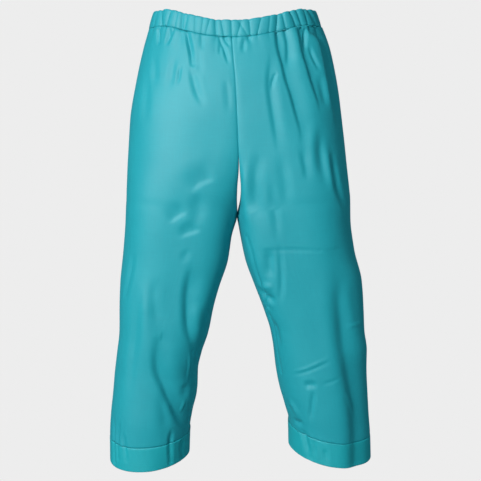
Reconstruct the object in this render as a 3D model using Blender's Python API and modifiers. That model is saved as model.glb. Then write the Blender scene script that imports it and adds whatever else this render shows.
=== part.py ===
"""Pull-on scrub trousers, cropped below the knee, holding the shape of a wearer who isn't there.

Metres, +Z up. The front faces -Y and the wearer's right leg is at -X. The origin is the middle of the waist
opening, where the wearer holds the trousers up.

The garment is one surface. Each row of LEVELS is the way round it at one height, from the waist down to the
hem. The four leg panels, the waistband and the hems are cut from that surface, each with its own wall.
"""

import math
from collections import namedtuple

import bmesh
import bpy
import numpy as np

# Driving dimensions
MM = 0.001
CLOTH = 1.5 * MM  # wall of one layer of cloth
SEAM_GAP = 0.3 * MM  # between pieces that are sewn together
SEAM_EDGE = 3 * MM  # narrow strip along each seam, so that neighbours' walls stay parallel there
CASING_GAP = 0.6 * MM  # below the casing, whose gathered wall leans a little towards the panels
CASING_LAYER = 1.0 * MM
CASING_DEPTH = 3.8 * MM  # outer layer, elastic and inner layer, with their gaps
ELASTIC_WIDTH = 25 * MM
ELASTIC_THICK = 1.0 * MM
ELASTIC_DROP = 3.7 * MM  # top of the elastic below the top of the casing
HEM_WALL = 2.5 * MM  # two layers of cloth
GATHERS = 24  # round the whole waist
GATHER_DEPTH = 2.2 * MM
FOLD_FADE = 30 * MM  # a fold dies out this far from a seam
HOLLOW_REACH = 0.64  # share of the way from the centre to the side over which the waist dips
HOLLOW_END = -240 * MM  # below this height the centre dips in a point, towards the crotch
HOLLOW_FADE = 120 * MM

# Mesh sizes
PANEL_COLUMNS = 12
ROW_STEP = 30 * MM
WAIST_COLUMNS = 28  # in each quarter of the waist
HEM_COLUMNS = 14  # in each half of a hem
CURVE_POINTS = 160  # on each half round, before it is divided

RIGHT, LEFT = -1, 1
FRONT, BACK = -1, 1

# One row for each level, in millimetres at the level's middle height z:
#   right_out, right_in, left_in, left_out: x of the legs' sides, right_in and left_in being the centre seam
#       above the crotch
#   front, back: y of the front and back of the garment
#   reach: 1 where the centre seam lies on the front and back, 0 where the legs are apart
#   inner_bend, outer_bend: exponents of the corners, 2 for an ellipse and more for a squarer corner
#   front_drop, back_drop: how far the centre or inner seam lies from the height of the side seam
#   tilt_back: how far the level rises from its middle to its back
#   tilt_in, left_tilt_in: how far it rises from its middle to the right and the left leg's inner side
#   left_rise: how much higher the left side stands than the right
Level = namedtuple(
    "Level",
    "z right_out right_in left_in left_out front back reach inner_bend outer_bend"
    " front_drop back_drop tilt_back tilt_in left_tilt_in left_rise",
)
PLAIN_NUMBERS = ("reach", "inner_bend", "outer_bend")
LEVELS = [
    Level(-3, -147.5, -8, -8, 140, -98, 98, 1.00, 2.2, 2.3, -22, 0, 0, 0, 0, 2),
    Level(-32, -156, -8, -8, 150, -101, 104, 1.00, 2.2, 2.3, -22, 0, 0, 0, 0, 2),
    Level(-68, -166, -6, -6, 163, -107, 112, 1.00, 2.3, 2.3, -18, 0, 0, 0, 0, 2),
    Level(-120, -177.5, -2, -2, 175, -113, 124, 1.00, 2.5, 2.6, -12, 0, 0, 0, 0, 2),
    Level(-191, -190, 1, 1, 186.5, -117, 136, 0.99, 2.8, 2.75, -8, -4, 0, 0, 0, 3),
    Level(-240, -193, 3, 3, 192, -117, 138, 0.97, 3.2, 2.8, -8, -8, 0, 0, 0, 3),
    Level(-275, -194.5, 4, 4, 195.5, -116, 134, 0.92, 3.6, 2.8, -14, -14, 0, 0, 0, 3),
    Level(-300, -195.5, 3.5, 3.5, 198, -114, 130, 0.80, 4.0, 2.8, -23, -22, 0, 0, 0, 3),
    Level(-318, -196.5, 2, 2, 200, -112, 127, 0.60, 4.2, 2.8, -31, -30, 0, 0, 0, 3),
    Level(-332, -197, 0, 0, 201.5, -110, 124, 0.30, 4.4, 2.8, -36, -36, 0, 0, 0, 3),
    Level(-344, -198, -3.5, 2, 202, -109, 122, 0.00, 4.6, 2.8, -34, -34, 0, 0, 0, 3),
    Level(-374, -199.4, -10.5, 6.5, 203, -106, 117, 0.00, 4.8, 2.75, -27, -27, 0, 0, 0, 3),
    Level(-425, -203.3, -17, 15, 209.7, -100, 108, 0.00, 4.6, 2.7, -16, -16, 0, 0, 0, 3),
    Level(-480, -208.8, -32, 32, 222.9, -94, 99, 0.00, 4.2, 2.6, -8, -8, 0, 0, 0, 4),
    Level(-534, -211.6, -45, 50, 227, -88, 92, 0.00, 3.5, 2.5, -3, -3, 0, 0, 0, 4),
    Level(-571, -212.3, -52, 60, 229.3, -84, 89, 0.00, 2.9, 2.45, 0, 0, 1, 0, 0, 4),
    Level(-608, -216.4, -64, 65.5, 234.5, -80, 87, 0.00, 2.6, 2.4, 0, 0, 3, 1, 1, 5),
    Level(-645, -221.8, -71, 69.5, 234.8, -76, 87, 0.00, 2.3, 2.2, 0, 0, 6, 2, 2, 6),
    Level(-682, -226.4, -72.5, 76, 236.5, -72, 88, 0.00, 2.2, 2.2, 0, 0, 9, 3, 5, 7),
    Level(-719, -230.9, -81, 86, 239.5, -68, 89, 0.00, 2.1, 2.2, 0, 0, 12, 4, 8, 8),
    Level(-759, -233.2, -87, 95, 243.5, -63, 89, 0.00, 2.0, 2.2, 0, 0, 14, 5, 11, 9),
    Level(-802, -233.5, -88.5, 95.5, 245, -60, 89, 0.00, 1.8, 2.15, 0, 0, 14, 5, 11, 9),
]
WAIST_TOP, CASING_END, HEM_TOP, HEM_END = 0, 1, len(LEVELS) - 2, len(LEVELS) - 1

# The largest folds and pleats, each a soft trough along its (x, z) points, in millimetres
Fold = namedtuple("Fold", "face width depth points")
FOLDS = [
    # pleats below the waist
    Fold(FRONT, 36, 3.0, ((-85, -44), (-78, -74), (-74, -104), (-62, -132), (-56, -174))),
    Fold(FRONT, 38, 4.0, ((68, -48), (72, -77), (80, -103), (93, -148), (110, -193), (112, -240))),
    Fold(FRONT, 38, 4.0, ((104, -40), (116, -72), (123, -109), (137, -149), (152, -176))),
    Fold(FRONT, 44, 6.0, ((136, -43), (150, -72), (160, -116), (170, -186))),
    Fold(BACK, 40, 3.5, ((-112, -44), (-124, -90), (-128, -150))),
    Fold(BACK, 36, 3.0, ((-44, -40), (-52, -88), (-60, -140))),
    Fold(BACK, 40, 4.0, ((38, -42), (46, -96), (60, -160))),
    Fold(BACK, 38, 3.5, ((104, -44), (118, -100), (130, -150))),
    # drags from the crotch, front and back
    Fold(FRONT, 44, 3.0, ((-34, -286), (-70, -300), (-112, -360))),
    Fold(BACK, 46, 5.0, ((-46, -352), (-90, -326), (-146, -318))),
    Fold(BACK, 46, 5.0, ((48, -350), (96, -320), (150, -330))),
    # the right leg
    Fold(FRONT, 42, 6.0, ((-75, -441), (-88, -485), (-90, -522), (-78, -580))),
    Fold(FRONT, 46, 7.0, ((-147, -593), (-150, -620), (-128, -669), (-104, -730))),
    Fold(BACK, 44, 5.0, ((-184, -520), (-140, -556), (-92, -580))),
    Fold(BACK, 44, 4.0, ((-176, -612), (-160, -680), (-158, -744))),
    # the left leg
    Fold(FRONT, 52, 6.0, ((164, -441), (168, -503), (182, -611), (198, -687), (202, -760))),
    Fold(FRONT, 38, 4.0, ((44, -430), (56, -480), (66, -527))),
    Fold(BACK, 44, 5.0, ((104, -566), (150, -540), (206, -520))),
    Fold(BACK, 44, 4.0, ((180, -600), (168, -670), (172, -740))),
]

# sRGB colours, as hex
CLOTH_COLOUR = "4FB2BF"
HEM_COLOUR = "25A5B0"
ELASTIC_COLOUR = "E9E6DE"


def clear_scene():
    for obj in list(bpy.data.objects):
        bpy.data.objects.remove(obj, do_unlink=True)


def make_collection(name):
    collection = bpy.data.collections.new(name)
    bpy.context.scene.collection.children.link(collection)
    return collection


def make_material(name, hex_colour, roughness):
    """A cloth finish, its colour turned from sRGB to linear."""
    material = bpy.data.materials.new(name)
    material.use_nodes = True
    channels = [int(hex_colour[i : i + 2], 16) / 255 for i in (0, 2, 4)]
    linear = [c / 12.92 if c <= 0.04045 else ((c + 0.055) / 1.055) ** 2.4 for c in channels]
    shader = material.node_tree.nodes["Principled BSDF"]
    shader.inputs["Base Color"].default_value = (*linear, 1.0)
    shader.inputs["Roughness"].default_value = roughness
    shader.inputs["Metallic"].default_value = 0.0
    material.diffuse_color = (*linear, 1.0)
    return material


def level_value(place, name):
    """The column's value at a place between levels, 2.5 being halfway from level 2 to 3, with no overshoot."""
    values = np.array([getattr(level, name) for level in LEVELS])
    if name not in PLAIN_NUMBERS:
        values = values * MM
    steps = np.diff(values)
    slopes = np.zeros(len(values))
    slopes[0], slopes[-1] = steps[0], steps[-1]
    for i in range(1, len(steps)):
        if steps[i - 1] * steps[i] > 0:
            slopes[i] = 2 * steps[i - 1] * steps[i] / (steps[i - 1] + steps[i])
    i = min(int(place), len(steps) - 1)
    t = place - i
    start = (2 * t**3 - 3 * t**2 + 1) * values[i] + (t**3 - 2 * t**2 + t) * slopes[i]
    end = (3 * t**2 - 2 * t**3) * values[i + 1] + (t**3 - t**2) * slopes[i + 1]
    return start + end


def place_below(level, distance):
    """The place this far below a level, or above it if the distance is negative."""
    other = level + (1 if distance > 0 else -1)
    spacing = abs(LEVELS[other].z - LEVELS[level].z) * MM
    return level + distance / spacing


def smooth_step(share):
    share = np.clip(share, 0, 1)
    return share * share * (3 - 2 * share)


def path_distance(points, x, z):
    """How far each (x, z) is from a path, and how far along the path it lies, from 0 to 1."""
    ends = np.array(points) * MM
    lengths = np.linalg.norm(np.diff(ends, axis=0), axis=1)
    starts = np.concatenate([[0], np.cumsum(lengths)])
    nearest = np.full(x.shape, np.inf)
    along = np.zeros(x.shape)
    for i, length in enumerate(lengths):
        step = (ends[i + 1] - ends[i]) / length
        run = np.clip((x - ends[i][0]) * step[0] + (z - ends[i][1]) * step[1], 0, length)
        distance = np.hypot(x - ends[i][0] - run * step[0], z - ends[i][1] - run * step[1])
        closer = distance < nearest
        nearest = np.where(closer, distance, nearest)
        along = np.where(closer, (starts[i] + run) / starts[-1], along)
    return nearest, along


def fold_depth(face, x, z):
    """How far the folds push the cloth in, at each (x, z) on the front or the back."""
    depth = np.zeros(x.shape)
    for fold in FOLDS:
        if fold.face != face:
            continue
        distance, along = path_distance(fold.points, x, z)
        across = np.cos(np.pi / 2 * np.clip(distance / (fold.width * MM / 2), 0, 1)) ** 2
        depth += fold.depth * MM * across * np.sin(np.pi * (0.1 + 0.8 * along))
    return depth


def outward(points, closed):
    """Level unit vectors square to a curve, on its right as it runs."""
    if closed:
        along = np.roll(points, -1, axis=0) - np.roll(points, 1, axis=0)
    else:
        along = np.gradient(points, axis=0)
    along = along[:, :2] / np.linalg.norm(along[:, :2], axis=1, keepdims=True)
    return np.stack([along[:, 1], -along[:, 0], np.zeros(len(points))], axis=1)


def half_round(side, face, place, seam_gap=0.0):
    """The front or back of one side at a place, as points from the centre or inner seam to the side seam."""
    value = {name: level_value(place, name) for name in Level._fields}
    outer = side * value["right_out" if side == RIGHT else "left_out"]
    inner = side * value["right_in" if side == RIGHT else "left_in"] + seam_gap / 2
    middle_y = (value["front"] + value["back"]) / 2
    half_depth = (value["back"] - value["front"]) / 2
    # Where the centre seam still lies on the front, the curve starts there and not at the inner leg.
    start_cos = math.sqrt(1 - min(1.0, value["reach"]) ** value["inner_bend"])
    centre = (inner + start_cos * outer) / (1 + start_cos)
    angle = np.linspace(math.acos(start_cos), math.pi, CURVE_POINTS)
    cosine = np.cos(angle)
    inside = cosine > 0
    bend = 2 / np.where(inside, value["inner_bend"], value["outer_bend"])
    share = np.abs(cosine) / np.where(inside, max(start_cos, 1e-6), 1.0)
    x = centre + np.where(inside, inner - centre, outer - centre) * share**bend
    y = face * half_depth * np.abs(np.sin(angle)) ** bend
    round_share = (angle - angle[0]) / (angle[-1] - angle[0])
    drop = value["front_drop" if face == FRONT else "back_drop"]
    # The waist dips in a soft hollow, and the crotch in a point.
    hollow = np.cos(np.pi / 2 * np.minimum(1, round_share / HOLLOW_REACH)) ** 2
    point = (1 - round_share) ** 2
    softness = smooth_step((value["z"] - HOLLOW_END) / HOLLOW_FADE)
    z = value["z"] + drop * (point + softness * (hollow - point))
    z += value["tilt_back"] * y / half_depth
    tilt_in = value["tilt_in" if side == RIGHT else "left_tilt_in"]
    z -= tilt_in * (2 * x - inner - outer) / (outer - inner)
    if side == LEFT:
        # At the centre seam both sides are at one height.
        z += value["left_rise"] * (1 - value["reach"] * (1 - round_share))
    points = np.stack([side * x, middle_y + y, z], axis=1)
    reach = np.concatenate([[0], np.cumsum(np.linalg.norm(np.diff(points, axis=0), axis=1))])
    from_seam = np.minimum(reach, reach[-1] - reach)
    depth = fold_depth(face, points[:, 0], points[:, 2]) * smooth_step(from_seam / FOLD_FADE)
    return points - outward(points, closed=False) * (depth * -side * face)[:, None]


def divide(curve, distances):
    """Points at these distances along a curve."""
    reach = np.concatenate([[0], np.cumsum(np.linalg.norm(np.diff(curve, axis=0), axis=1))])
    return np.stack([np.interp(distances, reach, curve[:, i]) for i in range(3)], axis=1)


def divide_evenly(curve, columns):
    length = np.linalg.norm(np.diff(curve, axis=0), axis=1).sum()
    return divide(curve, np.linspace(0, length, columns + 1))


def panel_row(side, face, place):
    """One row of a leg panel, from the centre or inner seam to the side seam."""
    curve = half_round(side, face, place, SEAM_GAP)
    length = np.linalg.norm(np.diff(curve, axis=0), axis=1).sum()
    # Above the crotch the gap at the inner edge is already in x.
    start = SEAM_GAP / 2 * (1 - level_value(place, "reach"))
    end = length - SEAM_GAP / 2
    middle = np.linspace(start + SEAM_EDGE, end - SEAM_EDGE, PANEL_COLUMNS - 1)
    return divide(curve, np.concatenate([[start], middle, [end]]))


def waist_ring(place):
    """The whole way round the waist, anticlockwise from above, and how far each point leans outwards."""
    front_right = divide_evenly(half_round(RIGHT, FRONT, place), WAIST_COLUMNS)
    front_left = divide_evenly(half_round(LEFT, FRONT, place), WAIST_COLUMNS)
    back_right = divide_evenly(half_round(RIGHT, BACK, place), WAIST_COLUMNS)
    back_left = divide_evenly(half_round(LEFT, BACK, place), WAIST_COLUMNS)
    points = np.concatenate([front_right[::-1][:-1], front_left[:-1], back_left[::-1][:-1], back_right[:-1]])
    turn = 2 * np.pi * np.arange(len(points)) / len(points)
    phase = GATHERS * turn + 2.1 * np.sin(5 * turn + 0.6) + 1.3 * np.sin(11 * turn)
    gather = GATHER_DEPTH / 2 * (1 + np.cos(phase))
    return points - outward(points, closed=True) * gather[:, None]


def hem_ring(side, place):
    """The whole way round one hem, anticlockwise from above."""
    front = divide_evenly(half_round(side, FRONT, place), HEM_COLUMNS)
    back = divide_evenly(half_round(side, BACK, place), HEM_COLUMNS)
    points = np.concatenate([front[:-1], back[::-1][:-1]])
    return points if side == LEFT else points[::-1]


def moved_in(ring, distance):
    return ring - outward(ring, closed=True) * distance


def lay_grid(name, rows, closed):
    """An open sheet of cloth through rows of points, made from a grid and facing outwards."""
    rows = np.array(rows)
    if closed:
        rows = np.concatenate([rows, rows[:, :1]], axis=1)
    down, across = rows.shape[0] - 1, rows.shape[1] - 1
    sheet = bmesh.new()
    bmesh.ops.create_grid(sheet, x_segments=across, y_segments=down, size=0.5)
    for vertex in sheet.verts:
        column = round((vertex.co.x + 0.5) * across)
        row = round((0.5 - vertex.co.y) * down)
        vertex.co = rows[row][column]
    if closed:
        bmesh.ops.remove_doubles(sheet, verts=sheet.verts, dist=1e-6)
    mesh = bpy.data.meshes.new(name)
    sheet.to_mesh(mesh)
    sheet.free()
    return mesh


def add_cloth(collection, name, rows, wall, material, closed=False, flip=False):
    """A named piece of cloth whose wall goes in from the rows of points."""
    mesh = lay_grid(name, rows, closed)
    if flip:
        mesh.flip_normals()
    mesh.shade_smooth()
    mesh.materials.append(material)
    piece = bpy.data.objects.new(name, mesh)
    collection.objects.link(piece)
    solidify = piece.modifiers.new("wall", "SOLIDIFY")
    solidify.thickness = wall
    solidify.offset = -1
    solidify.use_even_offset = True
    triangulate = piece.modifiers.new("short_diagonals", "TRIANGULATE")
    triangulate.quad_method = "SHORTEST_DIAGONAL"


def panel_places():
    """Where the rows of a leg panel lie, from the casing to the hem."""
    top = place_below(CASING_END, CASING_GAP)
    bottom = place_below(HEM_TOP, -SEAM_GAP)
    places = [top]
    for level in range(CASING_END, HEM_TOP):
        spacing = (LEVELS[level].z - LEVELS[level + 1].z) * MM
        rows = max(1, round(spacing / ROW_STEP))
        places += [level + (i + 1) / rows for i in range(rows)]
    places[-1] = bottom
    return places


def add_panels(collection, material):
    names = {(RIGHT, FRONT): "front_right", (LEFT, FRONT): "front_left",
             (RIGHT, BACK): "back_right", (LEFT, BACK): "back_left"}
    for (side, face), name in names.items():
        rows = [panel_row(side, face, place) for place in panel_places()]
        add_cloth(collection, name, rows, CLOTH, material, flip=side * face > 0)


def add_waistband(collection, material):
    """The casing: up the outside, over the top and down the inside, open between the layers at the bottom."""
    shoulder = place_below(WAIST_TOP, 3 * MM)
    outside = [waist_ring(place) for place in (CASING_END, shoulder)]
    top = moved_in(waist_ring(WAIST_TOP), CASING_DEPTH / 2)
    inside = [moved_in(ring, CASING_DEPTH) for ring in outside]
    rows = [*inside, top, *outside[::-1]]
    add_cloth(collection, "waistband", rows, CASING_LAYER, material, closed=True)


def add_elastic(collection, material):
    inset = (CASING_DEPTH - ELASTIC_THICK) / 2
    ends = (ELASTIC_DROP, ELASTIC_DROP + ELASTIC_WIDTH)
    rows = [moved_in(waist_ring(place_below(WAIST_TOP, end)), inset) for end in ends]
    add_cloth(collection, "waist_elastic", rows, ELASTIC_THICK, material, closed=True)


def add_hems(collection, material):
    top = place_below(HEM_TOP, 0.5 * SEAM_GAP)
    places = (top, (HEM_TOP + HEM_END) / 2, HEM_END)
    for side, name in ((RIGHT, "hem_right"), (LEFT, "hem_left")):
        rows = [hem_ring(side, place) for place in places]
        add_cloth(collection, name, rows, HEM_WALL, material, closed=True)


def main():
    clear_scene()
    collection = make_collection("scrub_trousers")
    cloth = make_material("poplin", CLOTH_COLOUR, 0.75)
    add_panels(collection, cloth)
    add_waistband(collection, make_material("poplin_casing", CLOTH_COLOUR, 0.75))
    add_elastic(collection, make_material("woven_elastic", ELASTIC_COLOUR, 0.8))
    add_hems(collection, make_material("poplin_double", HEM_COLOUR, 0.75))


main()
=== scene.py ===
"""Looks of the scrub trousers: poplin panels with their creases, a gathered casing, hems, stitching and studio.

Metres, +Z up, as in the CAD frame. The front faces -Y and the wearer's right leg is at -X, which is the left of
the photograph. Tables of the form, the creases and the tucks are in millimetres.
"""

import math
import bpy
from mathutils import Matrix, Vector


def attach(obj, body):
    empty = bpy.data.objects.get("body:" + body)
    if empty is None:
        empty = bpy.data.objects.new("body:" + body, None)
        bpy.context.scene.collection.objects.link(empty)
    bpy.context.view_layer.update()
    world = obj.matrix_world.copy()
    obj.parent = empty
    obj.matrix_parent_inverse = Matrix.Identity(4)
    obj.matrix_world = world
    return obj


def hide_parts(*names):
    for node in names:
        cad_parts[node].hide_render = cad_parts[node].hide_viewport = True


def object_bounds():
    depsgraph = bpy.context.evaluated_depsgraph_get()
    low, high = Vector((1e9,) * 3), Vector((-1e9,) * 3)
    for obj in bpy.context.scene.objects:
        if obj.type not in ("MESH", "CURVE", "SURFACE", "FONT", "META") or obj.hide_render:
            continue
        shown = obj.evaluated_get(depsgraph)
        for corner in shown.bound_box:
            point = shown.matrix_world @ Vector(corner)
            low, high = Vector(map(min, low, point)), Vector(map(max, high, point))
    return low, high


bl_info = {
    "name": "Scrub Trousers",
    "version": (1, 0, 0),
    "blender": (4, 5, 0),
    "location": "View3D > Sidebar > Trousers",
    "description": "Sews the panels, casing, hems and stitching of pull-on scrub trousers around their CAD frame",
    "category": "Object",
}

from collections import namedtuple
from functools import lru_cache

import bpy
import numpy as np

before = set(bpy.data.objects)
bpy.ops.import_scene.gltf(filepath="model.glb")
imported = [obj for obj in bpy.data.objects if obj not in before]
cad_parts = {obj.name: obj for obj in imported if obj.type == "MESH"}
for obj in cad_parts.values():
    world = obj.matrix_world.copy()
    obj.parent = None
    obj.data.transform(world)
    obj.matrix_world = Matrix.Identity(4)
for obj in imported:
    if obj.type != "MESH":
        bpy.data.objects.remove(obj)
CAD_BOX = [list(corner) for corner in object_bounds()]

# Driving dimensions
MM = 0.001
CASING_DEPTH = 3.8 * MM  # through both layers and the elastic
SEAM_GAP = 0.12 * MM
SEAM_GROOVE = 0.9 * MM  # how far a seam pulls the cloth in
SEAM_GROOVE_WIDTH = 1.7 * MM
HOLLOW_REACH = 0.64  # share of the way from the centre to the side over which the waist dips
HOLLOW_END = -240 * MM  # below this height the centre dips in a point, towards the crotch
HOLLOW_FADE = 120 * MM
VALLEY_DEPTH = 7 * MM  # of the centre seam just above the crotch
VALLEY_WIDTH = 5 * MM
VALLEY_TOP = -235 * MM
VALLEY_FADE = 110 * MM
CREASE_FADE = 11 * MM  # a crease dies out this far from a seam
CREASE_DEPTH = 1.5  # all creases, against the depths in their table
LIP = 0.12  # height of the cloth beside a crease, for each unit of its depth
QUARTER_WAIST = 205 * MM  # a quarter of the way round the waist
TUCK_HOLLOW = 9 * MM  # how far beside a tuck its soft hollow reaches
PANEL_GATHER = 0.8  # depth of the gathers below the casing, against those in it
PUCKER_DEPTH = 0.35 * MM  # ripples that the hem's stitching draws up
PUCKER_REACH = 9 * MM  # how far from the stitching they die out
STITCHED_DOWN = 2.2 * MM  # how far from its stitching a panel's end is pressed in
CASING_PRESS = 0.25 * MM
HEM_PRESS = 0.5 * MM
CASING_LAYER = 0.5 * MM
CASING_BULGE = 0.9 * MM  # of the casing's outside between its edges
HEM_FOLD = 0.8 * MM  # radius of the hem's folded edge

# Small gaps between sheets that are sewn together, in millimetres of the table's height
PANEL_TOP_GAP = 0.1
PANEL_END_GAP = 0.15

# Mesh sizes
CURVE_POINTS = 200
PANEL_ROWS = 286
PANEL_COLUMNS = 158  # besides those close to the seams
SEAM_COLUMNS = (0, 0.7, 1.4, 2.3, 3.6, 5.4)  # distances from a seam, in millimetres
BAND_COLUMNS = 176  # in each quarter of the waist
HEM_COLUMNS = 150  # in each half of a hem

RIGHT, LEFT = -1, 1
FRONT, BACK = -1, 1

# The form, level by level, as in the CAD part. In millimetres at the level's middle height z:
#   right_out, right_in, left_in, left_out: x of the legs' sides, right_in and left_in being the centre seam
#       above the crotch
#   front, back: y of the front and back of the garment
#   reach: 1 where the centre seam lies on the front and back, 0 where the legs are apart
#   inner_bend, outer_bend: exponents of the corners, 2 for an ellipse and more for a squarer corner
#   front_drop, back_drop: how far the centre or inner seam lies from the height of the side seam
#   tilt_back: how far the level rises from its middle to its back
#   tilt_in, left_tilt_in: how far it rises from its middle to the right and the left leg's inner side
#   left_rise: how much higher the left side stands than the right
Level = namedtuple(
    "Level",
    "z right_out right_in left_in left_out front back reach inner_bend outer_bend"
    " front_drop back_drop tilt_back tilt_in left_tilt_in left_rise",
)
PLAIN_NUMBERS = ("reach", "inner_bend", "outer_bend")
LEVELS = [
    Level(-3, -147.5, -8, -8, 140, -98, 98, 1.00, 2.2, 2.3, -22, 0, 0, 0, 0, 2),
    Level(-32, -156, -8, -8, 150, -101, 104, 1.00, 2.2, 2.3, -22, 0, 0, 0, 0, 2),
    Level(-68, -166, -6, -6, 163, -107, 112, 1.00, 2.3, 2.3, -18, 0, 0, 0, 0, 2),
    Level(-120, -177.5, -2, -2, 175, -113, 124, 1.00, 2.5, 2.6, -12, 0, 0, 0, 0, 2),
    Level(-191, -190, 1, 1, 186.5, -117, 136, 0.99, 2.8, 2.75, -8, -4, 0, 0, 0, 3),
    Level(-240, -193, 3, 3, 192, -117, 138, 0.97, 3.2, 2.8, -8, -8, 0, 0, 0, 3),
    Level(-275, -194.5, 4, 4, 195.5, -116, 134, 0.92, 3.6, 2.8, -14, -14, 0, 0, 0, 3),
    Level(-300, -195.5, 3.5, 3.5, 198, -114, 130, 0.80, 4.0, 2.8, -23, -22, 0, 0, 0, 3),
    Level(-318, -196.5, 2, 2, 200, -112, 127, 0.60, 4.2, 2.8, -31, -30, 0, 0, 0, 3),
    Level(-332, -197, 0, 0, 201.5, -110, 124, 0.30, 4.4, 2.8, -36, -36, 0, 0, 0, 3),
    Level(-344, -198, -3.5, 2, 202, -109, 122, 0.00, 4.6, 2.8, -34, -34, 0, 0, 0, 3),
    Level(-374, -199.4, -10.5, 6.5, 203, -106, 117, 0.00, 4.8, 2.75, -27, -27, 0, 0, 0, 3),
    Level(-425, -203.3, -17, 15, 209.7, -100, 108, 0.00, 4.6, 2.7, -16, -16, 0, 0, 0, 3),
    Level(-480, -208.8, -32, 32, 222.9, -94, 99, 0.00, 4.2, 2.6, -8, -8, 0, 0, 0, 4),
    Level(-534, -211.6, -45, 50, 227, -88, 92, 0.00, 3.5, 2.5, -3, -3, 0, 0, 0, 4),
    Level(-571, -212.3, -52, 60, 229.3, -84, 89, 0.00, 2.9, 2.45, 0, 0, 1, 0, 0, 4),
    Level(-608, -216.4, -64, 65.5, 234.5, -80, 87, 0.00, 2.6, 2.4, 0, 0, 3, 1, 1, 5),
    Level(-645, -221.8, -71, 69.5, 234.8, -76, 87, 0.00, 2.3, 2.2, 0, 0, 6, 2, 2, 6),
    Level(-682, -226.4, -72.5, 76, 236.5, -72, 88, 0.00, 2.2, 2.2, 0, 0, 9, 3, 5, 7),
    Level(-719, -230.9, -81, 86, 239.5, -68, 89, 0.00, 2.1, 2.2, 0, 0, 12, 4, 8, 8),
    Level(-759, -233.2, -87, 95, 243.5, -63, 89, 0.00, 2.0, 2.2, 0, 0, 14, 5, 11, 9),
    Level(-802, -233.5, -88.5, 95.5, 245, -60, 89, 0.00, 1.8, 2.15, 0, 0, 14, 5, 11, 9),
]
WAIST_TOP, CASING_END, HEM_TOP, HEM_END = 0, 1, len(LEVELS) - 2, len(LEVELS) - 1
CASING_HEIGHT = (LEVELS[WAIST_TOP].z - LEVELS[CASING_END].z) * MM

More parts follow.
